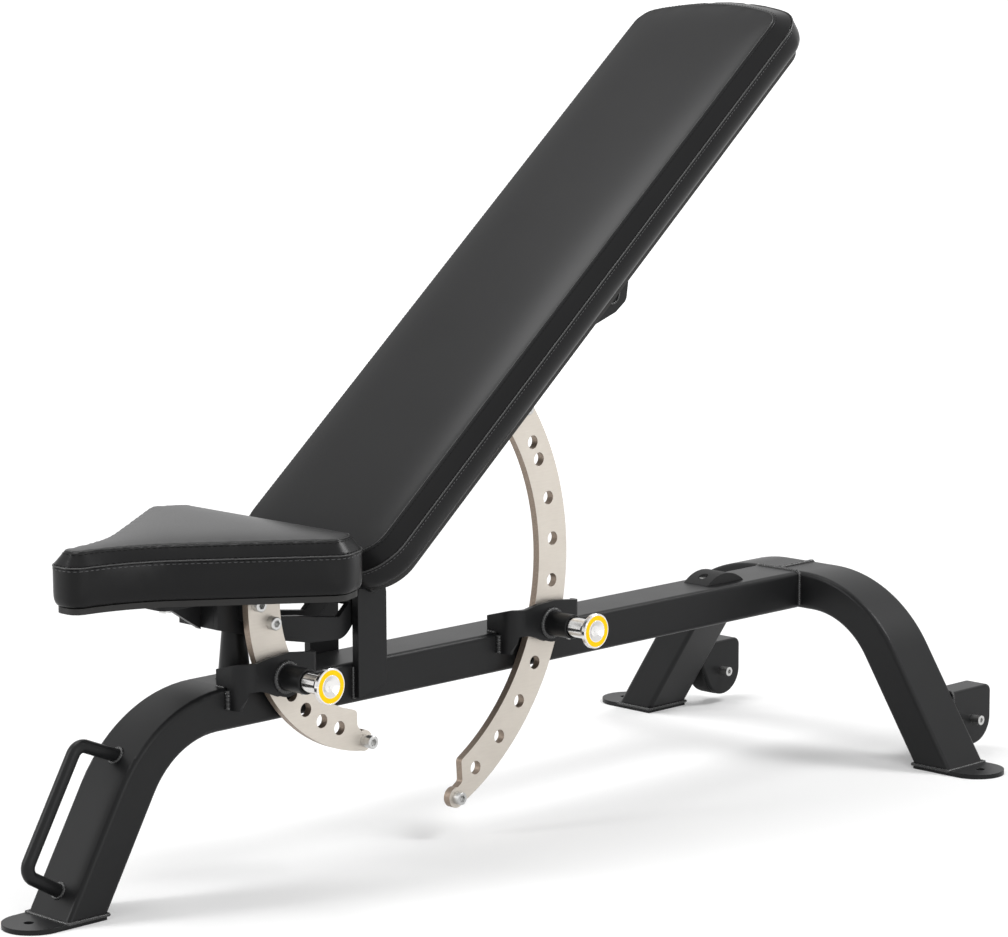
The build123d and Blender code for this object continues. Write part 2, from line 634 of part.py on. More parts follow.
BACK_HOLES = [BACK_PIN_ANGLE + HOLE_STEP * k for k in range(-4, 5)] + [BACK_PIN_ANGLE + DECLINE_STEP]
BACK_STOP = (-87.5, 48.7)
BACK_NECK = ((-77.5, 67.5), 5, (-91, 58))
BACK_SCREWS = [polar(BACK_PITCH_R - 11, 38.2), polar(BACK_PITCH_R + 11, 36.2)]
back_sector = sector(BACK_PITCH_R, 41.5, -59.6, -65.5, BACK_NECK, BACK_STOP, BACK_HOLES, BACK_SCREWS)
save("back_sector", back_sector)
save("back_sector_screws", cap_screws(BACK_SCREWS, 28))
save("back_stop_screw", cap_screws([BACK_STOP], 14))

SEAT_HOLES = [SEAT_PIN_ANGLE + HOLE_STEP * k for k in range(5)]
SEAT_STOP = (-243.5, 148.0)
SEAT_STOP_COLLAR = 7.0
SEAT_NECK = ((-254.5, 168), 9, (-246, 158))
SEAT_SCREWS = [polar(169.9, -172.0), polar(191.0, 179.6)]
seat_sector = sector(SEAT_PITCH_R, -182.0, -102.2, -95.5, SEAT_NECK, SEAT_STOP, SEAT_HOLES, SEAT_SCREWS)
save("seat_sector", seat_sector)
save("seat_sector_screws", cap_screws(SEAT_SCREWS, 16))
save("seat_stop_screw", cap_screws([SEAT_STOP], 14, SEAT_STOP_COLLAR))

# ---- seat ----

CHEEK_TOP = SEAT_BOTTOM - SEAT_BOARD - MOUNT_THICK
for side, tag in ((-1, "near"), (1, "far")):
    face = CHEEK_IN if side < 0 else -CHEEK_OUT
    with BuildPart() as cheek:
        with BuildSketch(Plane.XZ.offset(face)):
            with BuildLine():
                under = Polyline(
                    (BOX_FRONT, CHEEK_TOP), (BOX_FRONT, BOX_FRONT_LOW), (-350, 284), (-311.5, 276), (-268, 273),
                )
                boss = (PIVOT_X + BOSS_R - 1, PIVOT_Z)
                Spline(under @ 1, (-240, 291), boss, tangents=((1, 0), (0.2, 1)))
                Polyline(
                    boss, (PIVOT_X - BOSS_R + 1, PIVOT_Z), (PIVOT_X - 25, 316), (-264, 300.5), (-298, 305.3),
                    (-327, 311), (-358, 315), (-376, 322), (-380, CHEEK_TOP), (BOX_FRONT, CHEEK_TOP),
                )
            make_face()
            with Locations((PIVOT_X, PIVOT_Z)):
                Circle(BOSS_R)
                Circle(SHAFT_R + FIT, mode=Mode.SUBTRACT)
        extrude(amount=CHEEK_OUT - CHEEK_IN)
    save("seat_cheek_" + tag, cheek)

with BuildPart() as seat_frame_box:
    with BuildSketch(Plane.XZ):
        Polygon(
            (BOX_FRONT, CHEEK_TOP), (BOX_FRONT, BOX_FRONT_LOW), (BOX_REAR, BOX_REAR_LOW),
            (BOX_REAR, CHEEK_TOP), align=None,
        )
        Polygon(
            (BOX_FRONT + 4, CHEEK_TOP - 4), (BOX_FRONT + 4, BOX_FRONT_LOW + 3),
            (BOX_REAR - 4, BOX_REAR_LOW + 5), (BOX_REAR - 4, CHEEK_TOP - 4), align=None,
            mode=Mode.SUBTRACT,
        )
    extrude(amount=CHEEK_IN, both=True)
save("seat_frame_box", seat_frame_box)

with BuildPart() as seat_sector_block:
    with BuildSketch(Plane.XZ.offset(CHEEK_OUT)):
        Polygon((-425, 344), (-425, 322), (-401, 301), (-381, 309), (-378, 322), (-383, 344), align=None)
        with Locations(*SEAT_SCREWS):
            Circle(SCREW_R, mode=Mode.SUBTRACT)
    extrude(amount=SECTOR_BACK_FACE - CHEEK_OUT)
save("seat_sector_block", seat_sector_block)

with BuildPart() as seat_gusset:
    with BuildSketch(Plane.XZ):
        Polygon((-517, CHEEK_TOP), (BOX_FRONT, 309.5), (BOX_FRONT, CHEEK_TOP), align=None)
    extrude(amount=4, both=True)
save("seat_gusset", seat_gusset)

with BuildPart() as seat_mount_plate:
    with BuildSketch(Plane.XY.offset(CHEEK_TOP)):
        with Locations((-455, 0)):
            RectangleRounded(190, 100, 12)
    extrude(amount=MOUNT_THICK)
save("seat_mount_plate", seat_mount_plate)


def seat_outline(inset):
    """Seat seen from above: blunt nose, sides that flare out to wide hips, rear with round corners."""
    with BuildSketch(mode=Mode.PRIVATE) as face:
        Polygon(
            (SEAT_NOSE, -SEAT_NOSE_HALF), (WAIST_X, -WAIST_HALF), (HIP_X, -HIP_HALF),
            (SEAT_REAR, -SEAT_REAR_HALF), (SEAT_REAR, SEAT_REAR_HALF), (HIP_X, HIP_HALF),
            (WAIST_X, WAIST_HALF), (SEAT_NOSE, SEAT_NOSE_HALF), align=None,
        )
        if inset > 0:
            offset(amount=-inset, kind=Kind.INTERSECTION, mode=Mode.REPLACE)
        fillet(face.vertices().group_by(Axis.X)[3], SEAT_REAR_R - inset)
        fillet(face.vertices().group_by(Axis.X)[2], HIP_R - inset)
        fillet(face.vertices().group_by(Axis.X)[1], WAIST_R + inset)
        fillet(face.vertices().group_by(Axis.X)[0], SEAT_NOSE_R - inset)
    return face.sketch


with BuildPart() as seat_board:
    with BuildSketch(Plane.XY.offset(SEAT_BOTTOM - SEAT_BOARD)):
        add(seat_outline(SEAT_BOARD_INSET))
    extrude(amount=SEAT_BOARD)
save("seat_board", seat_board)

with BuildPart() as seat_pad:
    with BuildSketch(Plane.XY.offset(SEAT_BOTTOM)):
        add(seat_outline(0.0))
    extrude(amount=SEAT_WALL)
    with BuildSketch(Plane.XY.offset(SEAT_BOTTOM + SEAT_WALL)):
        add(seat_outline(0.0))
    seat_taper = asin(SEAT_SLANT_IN / sqrt(SEAT_SLANT_IN ** 2 + SEAT_SLANT ** 2))
    extrude(amount=SEAT_SLANT, taper=degrees(seat_taper))
save("seat_pad", seat_pad)

with BuildPart() as seat_pad_screws:
    with BuildSketch(Plane.XY.offset(CHEEK_TOP)):
        with Locations((-535, -35), (-535, 35), (-372, -42), (-372, 42)):
            Circle(7)
    extrude(amount=-4)
save("seat_pad_screws", seat_pad_screws)

# ---- backrest ----

BOARD_LOW = BACK_UNDER - BACK_BOARD
SPINE_TOP = BOARD_LOW - MOUNT_THICK
with BuildPart() as back_spine:
    with BuildSketch(back_plane()):
        with BuildLine():
            Polyline(
                (-20, SPINE_TOP), (SPINE_END, SPINE_TOP), (SPINE_END, SPINE_UNDER),
                (-20, SPINE_UNDER), close=True,
            )
        make_face()
    extrude(amount=SPINE_HALF, both=True)
    with BuildSketch(back_plane()):
        with BuildLine():
            Polyline(
                (28, SPINE_TOP - 3), (SPINE_END, SPINE_TOP - 3), (SPINE_END, SPINE_UNDER + 3),
                (28, SPINE_UNDER + 3), close=True,
            )
        make_face()
    extrude(amount=SPINE_HALF - 3, both=True, mode=Mode.SUBTRACT)
    with Locations(Location((PIVOT_X, 0, PIVOT_Z), (90, 0, 0))):
        Cylinder(14, 2 * SPINE_HALF + 4, mode=Mode.SUBTRACT)
save("back_spine", back_spine)

with BuildPart() as back_hub:
    with Locations(Location((PIVOT_X, 0, PIVOT_Z), (90, 0, 0))):
        Cylinder(14, 2 * CHEEK_IN - 0.6)
        Cylinder(SHAFT_R + FIT, 2 * CHEEK_IN, mode=Mode.SUBTRACT)
save("back_hub", back_hub)

with BuildPart() as back_spine_cap:
    with BuildSketch(back_plane()):
        with BuildLine():
            Polyline(
                (SPINE_END, SPINE_TOP), (SPINE_END + 3, SPINE_TOP), (SPINE_END + 3, SPINE_UNDER),
                (SPINE_END, SPINE_UNDER), close=True,
            )
        make_face()
    extrude(amount=SPINE_HALF, both=True)
save("back_spine_cap", back_spine_cap)

MOUNT_AT = (110.0, 640.0)
with BuildPart() as back_mount_plates:
    with BuildSketch(back_face(SPINE_TOP)):
        with Locations(*[(at, 0) for at in MOUNT_AT]):
            RectangleRounded(60, 200, 8)
    extrude(amount=MOUNT_THICK)
save("back_mount_plates", back_mount_plates)

# gussets outside the spine, tied to it by a cross tube
GUSSET_FACE = 57.0
GUSSET_THICK = 5.0
CROSS_AT = (518.0, -18.0)

for side, tag in ((-1, "near"), (1, "far")):
    start = GUSSET_FACE if side < 0 else -GUSSET_FACE - GUSSET_THICK
    with BuildPart() as gusset:
        with BuildSketch(back_plane(start)) as shape:
            with BuildLine():
                Polyline((345, BOARD_LOW), (608, BOARD_LOW), (532, -43), (508, -41), close=True)
            make_face()
            fillet(shape.vertices().sort_by(Axis.Y)[0:2], 12)
            with Locations(CROSS_AT):
                Circle(12, mode=Mode.SUBTRACT)
        extrude(amount=GUSSET_THICK)
    save("back_gusset_" + tag, gusset)

with BuildPart() as back_cross_tube:
    for side in (-1, 1):
        start = SPINE_HALF if side < 0 else -GUSSET_FACE - GUSSET_THICK
        with BuildSketch(back_plane(start)):
            with Locations(CROSS_AT):
                Circle(12)
                Circle(9, mode=Mode.SUBTRACT)
        extrude(amount=GUSSET_FACE + GUSSET_THICK - SPINE_HALF)
save("back_cross_tube", back_cross_tube)

with BuildPart() as back_sector_block:
    with BuildSketch(back_plane(SPINE_HALF)):
        with Locations((BACK_PITCH_R * cos(radians(2.8)), -14)):
            RectangleRounded(48, 24, 3)
    extrude(amount=SECTOR_BACK_FACE - SPINE_HALF)
    with BuildSketch(Plane.XZ.offset(SPINE_HALF)):
        with Locations(*BACK_SCREWS):
            Circle(SCREW_R)
    extrude(amount=SECTOR_BACK_FACE - SPINE_HALF, mode=Mode.SUBTRACT)
save("back_sector_block", back_sector_block)


def back_outline(inset):
    """Backrest seen square on: straight sides and lower end, arched upper end, round corners."""
    half = BACK_HALF - inset
    arch = BACK_ARCH_R - inset
    sag = arch - sqrt(arch ** 2 - half ** 2)
    low = BACK_LOW + inset
    high = BACK_HIGH - inset
    with BuildSketch(mode=Mode.PRIVATE) as face:
        with BuildLine():
            ThreePointArc((high - sag, -half), (high, 0), (high - sag, half))
            Polyline((high - sag, half), (low, half), (low, -half), (high - sag, -half))
        make_face()
        fillet(face.vertices().group_by(Axis.X)[0], 60 - inset)
        fillet(face.vertices().group_by(Axis.X)[-1], 48 - inset)
    return face.sketch


with BuildPart() as back_board:
    with BuildSketch(back_face(BOARD_LOW)):
        add(back_outline(BACK_BOARD_INSET))
    extrude(amount=BACK_BOARD)
save("back_board", back_board)

with BuildPart() as back_pad:
    with BuildSketch(back_face(BACK_UNDER)):
        add(back_outline(0))
    extrude(amount=BACK_WALL)
    with BuildSketch(back_face(BACK_UNDER + BACK_WALL)):
        add(back_outline(0))
    back_taper = asin(BACK_SLANT_IN / sqrt(BACK_SLANT_IN ** 2 + BACK_SLANT ** 2))
    extrude(amount=BACK_SLANT, taper=degrees(back_taper))
save("back_pad", back_pad)

with BuildPart() as back_pad_screws:
    with BuildSketch(back_face(SPINE_TOP)):
        with Locations(*[(at, y) for at in MOUNT_AT for y in (-60, 60)]):
            Circle(7)
    extrude(amount=-4)
save("back_pad_screws", back_pad_screws)
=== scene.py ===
import json
import math

import bmesh
import bpy
from mathutils import Matrix, Vector
from mathutils.bvhtree import BVHTree
from mathutils.kdtree import KDTree

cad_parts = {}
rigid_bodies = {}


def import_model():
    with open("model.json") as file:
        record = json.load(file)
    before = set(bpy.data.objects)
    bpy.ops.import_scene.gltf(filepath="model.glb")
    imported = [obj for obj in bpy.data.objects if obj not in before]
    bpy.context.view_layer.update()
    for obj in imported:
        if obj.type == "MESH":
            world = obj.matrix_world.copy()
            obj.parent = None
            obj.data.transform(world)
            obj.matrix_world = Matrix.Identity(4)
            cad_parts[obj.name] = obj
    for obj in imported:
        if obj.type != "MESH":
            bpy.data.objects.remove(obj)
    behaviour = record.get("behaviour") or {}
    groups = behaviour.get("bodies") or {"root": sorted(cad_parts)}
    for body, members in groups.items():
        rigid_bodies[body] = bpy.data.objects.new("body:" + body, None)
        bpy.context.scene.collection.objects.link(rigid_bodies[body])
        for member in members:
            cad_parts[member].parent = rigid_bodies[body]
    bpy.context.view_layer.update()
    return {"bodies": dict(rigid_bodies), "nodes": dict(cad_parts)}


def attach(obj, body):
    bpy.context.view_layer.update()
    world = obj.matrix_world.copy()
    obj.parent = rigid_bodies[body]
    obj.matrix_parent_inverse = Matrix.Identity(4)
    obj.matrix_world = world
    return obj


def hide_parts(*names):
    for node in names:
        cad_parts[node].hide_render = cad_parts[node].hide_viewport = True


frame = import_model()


# ---- main tube ----
# Level beam that bends down into the front leg: one 3 x 2 inch steel tube with 3 mm walls and rounded
# corners, in satin black powder coat with a fine orange-peel skin. The rest of the frame is welded or
# bolted to it.


class Signal:
    """A value that changes over a surface. Arithmetic on it adds Math nodes to its finish."""

    def __init__(self, finish, socket):
        self.finish = finish
        self.socket = socket

    def maths(self, operation, first, second):
        return self.finish.node("ShaderNodeMath", {"operation": operation}, {0: first, 1: second})

    def __add__(self, other):
        return self.maths("ADD", self, other)

    def __radd__(self, other):
        return self.maths("ADD", other, self)

    def __sub__(self, other):
        return self.maths("SUBTRACT", self, other)

    def __rsub__(self, other):
        return self.maths("SUBTRACT", other, self)

    def __mul__(self, other):
        return self.maths("MULTIPLY", self, other)

    def __rmul__(self, other):
        return self.maths("MULTIPLY", other, self)

    def __abs__(self):
        return self.finish.node("ShaderNodeMath", {"operation": "ABSOLUTE"}, {0: self})


class Finish:
    """A material of the bench, or a world, built from nodes."""

    def __init__(self, name, kind=bpy.data.materials):
        self.material = kind.new(name)
        self.material.use_nodes = True
        self.tree = self.material.node_tree
        self.tree.nodes.clear()
        self.place = self.node("ShaderNodeTexCoord", out="Object")

    def node(self, kind, settings=None, sockets=None, out=0):
        made = self.tree.nodes.new(kind)
        for name, value in (settings or {}).items():
            setattr(made, name, value)
        for name, value in (sockets or {}).items():
            if isinstance(value, Signal):
                self.tree.links.new(value.socket, made.inputs[name])
            else:
                made.inputs[name].default_value = value
        return None if out is None else Signal(self, made.outputs[out])

    def grain(self, size, detail=2.0, stretch=(1.0, 1.0, 1.0)):
        """Noise with spots about that many metres across, from 0 to 1."""
        spot = self.node("ShaderNodeMapping", {}, {"Vector": self.place, "Scale": stretch})
        return self.node("ShaderNodeTexNoise", {}, {"Vector": spot, "Scale": 1 / size, "Detail": detail})

    def step(self, value, low, high):
        """0 below low, 1 above high, smooth between them."""
        sockets = {"Value": value, "From Min": low, "From Max": high}
        return self.node("ShaderNodeMapRange", {"interpolation_type": "SMOOTHSTEP"}, sockets)

    def blend(self, share, first, second):
        """Colour between two colours."""
        return self.node("ShaderNodeMix", {"data_type": "RGBA"}, {0: share, 6: first, 7: second}, out=2)

    def rounded(self, radius):
        """Normals that round a sharp edge over by that radius."""
        return self.node("ShaderNodeBevel", {"samples": 4}, {"Radius": radius})

    def relief(self, height, depth, edges=None):
        """Bump of that depth in metres."""
        sockets = {"Height": height, "Distance": depth}
        if edges is not None:
            sockets["Normal"] = edges
        return self.node("ShaderNodeBump", {}, sockets)

    def surface(self, **sockets):
        """Ends the material in one shader. Base_Color= sets Base Color, and so on."""
        named = {name.replace("_", " "): value for name, value in sockets.items()}
        shader = self.node("ShaderNodeBsdfPrincipled", {}, named)
        self.node("ShaderNodeOutputMaterial", {"target": "ALL"}, {"Surface": shader}, out=None)


def coat_nodes(finish, *nodes):
    """Gives CAD nodes a finish."""
    for name in nodes:
        mesh = frame["nodes"][name].data
        mesh.materials.clear()
        mesh.materials.append(finish.material)


frame_black = Finish("frame_black")
haze = frame_black.grain(0.09, 3.0)
peel = frame_black.grain(0.0011, 1.0)
frame_black.surface(
    Base_Color=frame_black.blend(haze, (0.0095, 0.0097, 0.0102, 1), (0.0135, 0.0137, 0.0142, 1)),
    Roughness=0.30 + haze * 0.09 + peel * 0.05,
    Normal=frame_black.relief(peel, 0.00003, frame_black.rounded(0.0016)), Specular_IOR_Level=0.17,
)
coat_nodes(frame_black, "main_frame_tube")

# ---- rear legs ----
# Two pieces of the same tube, bent down and outwards, butted together behind the beam's end and welded. One
# bead runs up the beam's side, over its top and down the far side, and one runs between the two legs.


def add_piece(name, mesh, body, finish, smooth_below):
    """A finished piece at the origin that moves with a body."""
    obj = bpy.data.objects.new(name, mesh)
    frame["bodies"][body].users_collection[0].objects.link(obj)
    mesh.materials.clear()
    mesh.materials.append(finish.material)
    mesh.shade_smooth()
    mesh.set_sharp_from_angle(angle=math.radians(smooth_below))
    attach(obj, body)
    return obj


def spaced(points, gap, closed=False):
    """Points at even spacing along a run of straight lines."""
    line = [Vector(p) for p in points]
    if closed:
        line.append(line[0])
    lengths = [0.0]
    for a, b in zip(line, line[1:]):
        lengths.append(lengths[-1] + (b - a).length)
    count = max(2, round(lengths[-1] / gap))
    found = []
    leg = 0
    for k in range(count if closed else count + 1):
        at = lengths[-1] * k / count
        while leg < len(line) - 2 and lengths[leg + 1] < at:
            leg += 1
        span = max(lengths[leg + 1] - lengths[leg], 1e-9)
        found.append(line[leg].lerp(line[leg + 1], (at - lengths[leg]) / span))
    return found


def round_bar(points, radius, closed=False, ripple=0.0, pitch=1.0, sides=2):
    """Mesh of a thin round bar along points; ripple swells it at every pitch along it."""
    curve = bpy.data.curves.new("bar", "CURVE")
    curve.dimensions = "3D"
    curve.bevel_depth = radius
    curve.bevel_resolution = sides
    curve.use_fill_caps = True
    spline = curve.splines.new("POLY")
    spline.points.add(len(points) - 1)
    along = 0.0
    for i, point in enumerate(points):
        if i:
            along += (point - points[i - 1]).length
        spline.points[i].co = (*point, 1)
        spline.points[i].radius = 1 - ripple * (0.5 + 0.5 * math.cos(2 * math.pi * along / pitch))
    spline.use_cyclic_u = closed
    holder = bpy.data.objects.new("bar", curve)
    mesh = bpy.data.meshes.new_from_object(holder)
    bpy.data.objects.remove(holder)
    bpy.data.curves.remove(curve)
    return mesh


def weld(name, body, runs, radius, closed=False):
    """Weld beads along runs of points: overlapping ripples laid in the corner between two pieces."""
    bead = bmesh.new()
    for run in runs:
        mesh = round_bar(spaced(run, BEAD_STEP, closed), radius, closed, BEAD_RIPPLE, BEAD_PITCH)
        bead.from_mesh(mesh)
        bpy.data.meshes.remove(mesh)
    bmesh.ops.remove_doubles(bead, verts=bead.verts, dist=1e-6)
    bmesh.ops.recalc_face_normals(bead, faces=bead.faces)
    mesh = bpy.data.meshes.new(name)
    bead.to_mesh(mesh)
    bead.free()
    add_piece(name, mesh, body, bead_black, 60)


BEAD_STEP = 0.0009
BEAD_PITCH = 0.0030
BEAD_RIPPLE = 0.22
# The beads carry the frame's powder coat, but their black is made lighter than the frame's: painted sheen
# for the glints on their ripples.
bead_black = Finish("bead_black")
clouds = bead_black.grain(0.004, 2.0)
bead_black.surface(
    Base_Color=bead_black.blend(clouds, (0.018, 0.0182, 0.0188, 1), (0.034, 0.0342, 0.0348, 1)),
    Roughness=0.20 + clouds * 0.14, Normal=bead_black.relief(clouds, 0.0002), Specular_IOR_Level=0.50,
)
coat_nodes(frame_black, "rear_leg_near", "rear_leg_far")
TUBE_HALF = 0.0381
BEAM_TOP = 0.242
BEAM_LOW = 0.1912
BEAM_END = 0.5845
LEG_BACK = 0.6607
PROUD = 0.0005
TURN = 0.004
side_y = TUBE_HALF + PROUD
weld("leg_joint_bead", "frame", [
    [(BEAM_END, -side_y, BEAM_LOW + TURN), (BEAM_END, -side_y, BEAM_TOP - TURN),
     (BEAM_END, -TUBE_HALF + TURN, BEAM_TOP), (BEAM_END, TUBE_HALF - TURN, BEAM_TOP),
     (BEAM_END, side_y, BEAM_TOP - TURN), (BEAM_END, side_y, BEAM_LOW + TURN)],
    [(BEAM_END + TURN, 0, BEAM_LOW), (LEG_BACK - TURN, 0, BEAM_LOW), (LEG_BACK, 0, BEAM_LOW + TURN),
     (LEG_BACK, 0, BEAM_TOP - TURN), (LEG_BACK - TURN, 0, BEAM_TOP), (BEAM_END + TURN, 0, BEAM_TOP)],
], radius=0.0030)

# ---- foot plates ----
# Three 6 mm steel plates with round outer ends, one under each leg, each with a hole for a floor bolt. They
# are welded all round the legs' ends and coated with the frame.

coat_nodes(frame_black, "foot_plate_front", "foot_plate_near", "foot_plate_far")
PLATE_TOP = 0.006
FRONT_FOOT = (-0.6892, -0.6296)
REAR_FOOT = (0.3012, 0.2396)


def foot_bead(toe, heel):
    """Corners of the bead round a leg's foot, along the leg and across it."""
    return [(toe, -side_y), (heel, -side_y), (heel, side_y), (toe, side_y)]


leg_middle = (BEAM_END + LEG_BACK) / 2
weld("foot_beads", "frame", [
    [(x, y, PLATE_TOP) for x, y in foot_bead(*FRONT_FOOT)],
    [(leg_middle + y, -x, PLATE_TOP) for x, y in foot_bead(*REAR_FOOT)],
    [(leg_middle + y, x, PLATE_TOP) for x, y in foot_bead(*REAR_FOOT)],
], radius=0.0024, closed=True)

# ---- carry handle ----
# 16 mm round steel bar bent round at both ends, to lift the bench by. It is coped and welded to the front
# leg's face and coated with the frame.

coat_nodes(frame_black, "carry_handle")
HANDLE_BEAD_R = 0.00896
HANDLE_TOP, HANDLE_TOP_WAY = (-0.640, 0, 0.202), (0.080, 0, -0.033)
HANDLE_LOW, HANDLE_LOW_WAY = (-0.7205, 0, 0.063), (0.0705, 0, -0.041)


def landing(middle, way):
    """Ring of points where the handle's bar, running that way, lands on the main tube."""
    obj = frame["nodes"]["main_frame_tube"]
    target = BVHTree.FromObject(obj, bpy.context.evaluated_depsgraph_get())
    back = obj.matrix_world.inverted()
    way = Vector(way).normalized()
    one = way.orthogonal().normalized()
    two = way.cross(one)
    ring = []
    for k in range(28):
        turn = 2 * math.pi * k / 28
        start = Vector(middle) + (one * math.cos(turn) + two * math.sin(turn)) * HANDLE_BEAD_R
        spot = target.ray_cast(back @ start, back.to_3x3() @ way)[0]
        if spot is not None:
            ring.append(tuple(obj.matrix_world @ spot))
    return ring


weld("handle_beads", "frame", [
    landing(HANDLE_TOP, HANDLE_TOP_WAY), landing(HANDLE_LOW, HANDLE_LOW_WAY),
], radius=0.0026, closed=True)

# ---- uprights, pivot shaft and rest post ----
# Two flat bars welded to the beam's sides carry the pivot shaft, held by a domed cap screw at each end with
# a washer inside. The turned post that the seat frame rests on is welded to the beam's top.

coat_nodes(frame_black, "upright_near", "upright_far", "seat_rest_post")
UPRIGHT_FRONT, UPRIGHT_FRONT_LOW = -0.2455, 0.199
UPRIGHT_REAR, UPRIGHT_REAR_LOW = -0.1985, 0.211
UPRIGHT_BEAD_TOP = BEAM_TOP - 0.005
UPRIGHT_BEAD_Y = TUBE_HALF + 0.0004
for side in (-1, 1):
    y = side * UPRIGHT_BEAD_Y
    weld("upright_beads", "frame", [
        [(UPRIGHT_FRONT, y, UPRIGHT_BEAD_TOP), (UPRIGHT_FRONT, y, UPRIGHT_FRONT_LOW),
         (UPRIGHT_REAR, y, UPRIGHT_REAR_LOW), (UPRIGHT_REAR, y, UPRIGHT_BEAD_TOP)],
    ], radius=0.0028)
POST_X = -0.4015
POST_BEAD_R = 0.0208
turns = [2 * math.pi * k / 40 for k in range(40)]
weld("post_bead", "frame", [
    [(POST_X + POST_BEAD_R * math.cos(t), POST_BEAD_R * math.sin(t), BEAM_TOP) for t in turns],
], radius=0.0024, closed=True)

# ---- clamp straps and pin barrels ----
# 6 mm strip bent to a U against the beam, with a turned barrel welded on its face for the pull pin. A broad
# bead runs down the strip's front foot, and thin ones lie along the two ends on top of the beam.

coat_nodes(frame_black, "seat_clamp_strap", "back_clamp_strap", "seat_pin_barrel", "back_pin_barrel")
PIN_Z = 0.249
PINS = {"seat": -0.37748, "back": 0.07141}
BARREL_BEAD_R = 0.0168
BARREL_BEAD_Y = -0.0664
STRAP_FOOT = -0.0685
STRAP_FOOT_Y = -TUBE_HALF - 0.001
STRAP_FOOT_Z = (0.2165, 0.2395)
STRAP_ENDS = ((0.0518, -0.036), (-0.0682, -0.034))
STRAP_END_Y = -0.019
barrel_round = [(BARREL_BEAD_R * math.cos(t), BARREL_BEAD_R * math.sin(t)) for t in turns]
for name, x in PINS.items():
    weld(name + "_barrel_bead", "frame", [
        [(x + along, BARREL_BEAD_Y, PIN_Z + up) for along, up in barrel_round],
    ], radius=0.0040, closed=True)
    weld(name + "_strap_bead", "frame", [
        [(x + STRAP_FOOT, STRAP_FOOT_Y, z) for z in STRAP_FOOT_Z],
    ], radius=0.0046)
    weld(name + "_strap_end_bead", "frame", [
        [(x + at, y, BEAM_TOP), (x + at, STRAP_END_Y, BEAM_TOP)] for at, y in STRAP_ENDS
    ], radius=0.0022)

# ---- sector plates ----
# 10 mm steel plates, laser cut and left bare with a fine brushed grain and brown cut edges. Each hangs from
# the seat frame or the backrest spine on two cap screws, and has a stop screw at its lower end.

sector_steel = Finish("sector_steel")
brushed = sector_steel.grain(0.0022, 3.0, (0.12, 1.0, 1.0))
cloudy = sector_steel.grain(0.03, 2.0)
facing = sector_steel.node("ShaderNodeNewGeometry", out="True Normal")
sideways = abs(sector_steel.node("ShaderNodeSeparateXYZ", {}, {"Vector": facing}, out="Y"))
burnt = 1 - sector_steel.step(sideways, 0.3, 0.7)
scale = sector_steel.grain(0.002, 3.0)
mixed = brushed * 0.6 + cloudy * 0.4
plain_face = sector_steel.blend(mixed, (0.53, 0.485, 0.43, 1), (0.68, 0.635, 0.572, 1))
cut_edge = sector_steel.blend(scale, (0.20, 0.155, 0.12, 1), (0.42, 0.34, 0.275, 1))
sector_steel.surface(
    Base_Color=sector_steel.blend(burnt, plain_face, cut_edge), Metallic=0.7,
    Roughness=0.38 + brushed * 0.16,
    Normal=sector_steel.relief(brushed, 0.00005, sector_steel.rounded(0.0005)),
)
coat_nodes(sector_steel, "seat_sector", "back_sector")

# ---- screws and nuts ----
# Bright zinc-plated socket screws, bolts, nuts, washers and pivot shaft, screwed home. The two domed cap
# screws on the pivot shaft are powder coated with the frame.

zinc = Finish("zinc")
bloom = zinc.grain(0.0025, 3.0)
zinc.surface(
    Base_Color=zinc.blend(bloom, (0.42, 0.42, 0.415, 1), (0.62, 0.62, 0.61, 1)), Metallic=1.0,
    Roughness=0.26 + bloom * 0.14, Normal=zinc.relief(bloom, 0.00004, zinc.rounded(0.0006)),
)
coat_nodes(zinc, "seat_sector_screws", "seat_stop_screw", "back_sector_screws", "back_stop_screw",
           "axle_bolts", "axle_nuts", "axle_spacers", "pin_set_screws", "seat_pad_screws",
           "back_pad_screws", "bumper_screws", "pivot_shaft", "pivot_washers")
coat_nodes(frame_black, "pivot_cap_screws")

# ---- pull pins ----
# Turned and chromed knob with a dished face on a bright 16 mm pin, one in each barrel. A yellow ring is let
# into the knob.

chrome = Finish("chrome")
smear = chrome.grain(0.012, 3.0)
chrome.surface(
    Base_Color=(0.72, 0.71, 0.70, 1), Metallic=1.0, Roughness=0.12 + smear * 0.10,
    Normal=chrome.relief(smear, 0.00002, chrome.rounded(0.0005)),
)
yellow = Finish("yellow_ring")
speck = yellow.grain(0.001, 1.0)
yellow.surface(
    Base_Color=yellow.blend(speck, (1.0, 0.60, 0.0, 1), (1.0, 0.68, 0.0, 1)),
    Roughness=0.40 + speck * 0.1, Normal=yellow.relief(speck, 0.00003), Specular_IOR_Level=0.15,
)
coat_nodes(chrome, "seat_pull_pin", "back_pull_pin")
coat_nodes(yellow, "seat_pin_ring", "back_pin_ring")

# ---- seat frame ----
# Two flat cheeks from the pivot to a closed box under the pad, with a gusset in front, a mounting plate on
# top and the block that the sector plate is screwed to. All welded steel in the frame's black powder coat.

coat_nodes(frame_black, "seat_cheek_near", "seat_cheek_far", "seat_frame_box", "seat_sector_block",
           "seat_gusset", "seat_mount_plate")

# ---- backrest frame ----
# Square spine tube with its pivot hub and a cap at the head end, two mounting plates for the board, and a
# cross tube let in between two side gussets. All welded steel in the frame's black powder coat.

coat_nodes(frame_black, "back_spine", "back_hub", "back_spine_cap", "back_mount_plates",
           "back_gusset_near", "back_gusset_far", "back_cross_tube", "back_sector_block")
PIVOT = Vector((-0.222, 0.0, 0.3383))
lay_back = Matrix.Rotation(math.radians(40), 4, "Y") @ Matrix.Translation(-PIVOT)
stand_up = lay_back.inverted()


def on_back(points):
    """Points given along, across and off the laid-down backrest, where they are on the bench."""
    return [tuple(stand_up @ Vector(p)) for p in points]


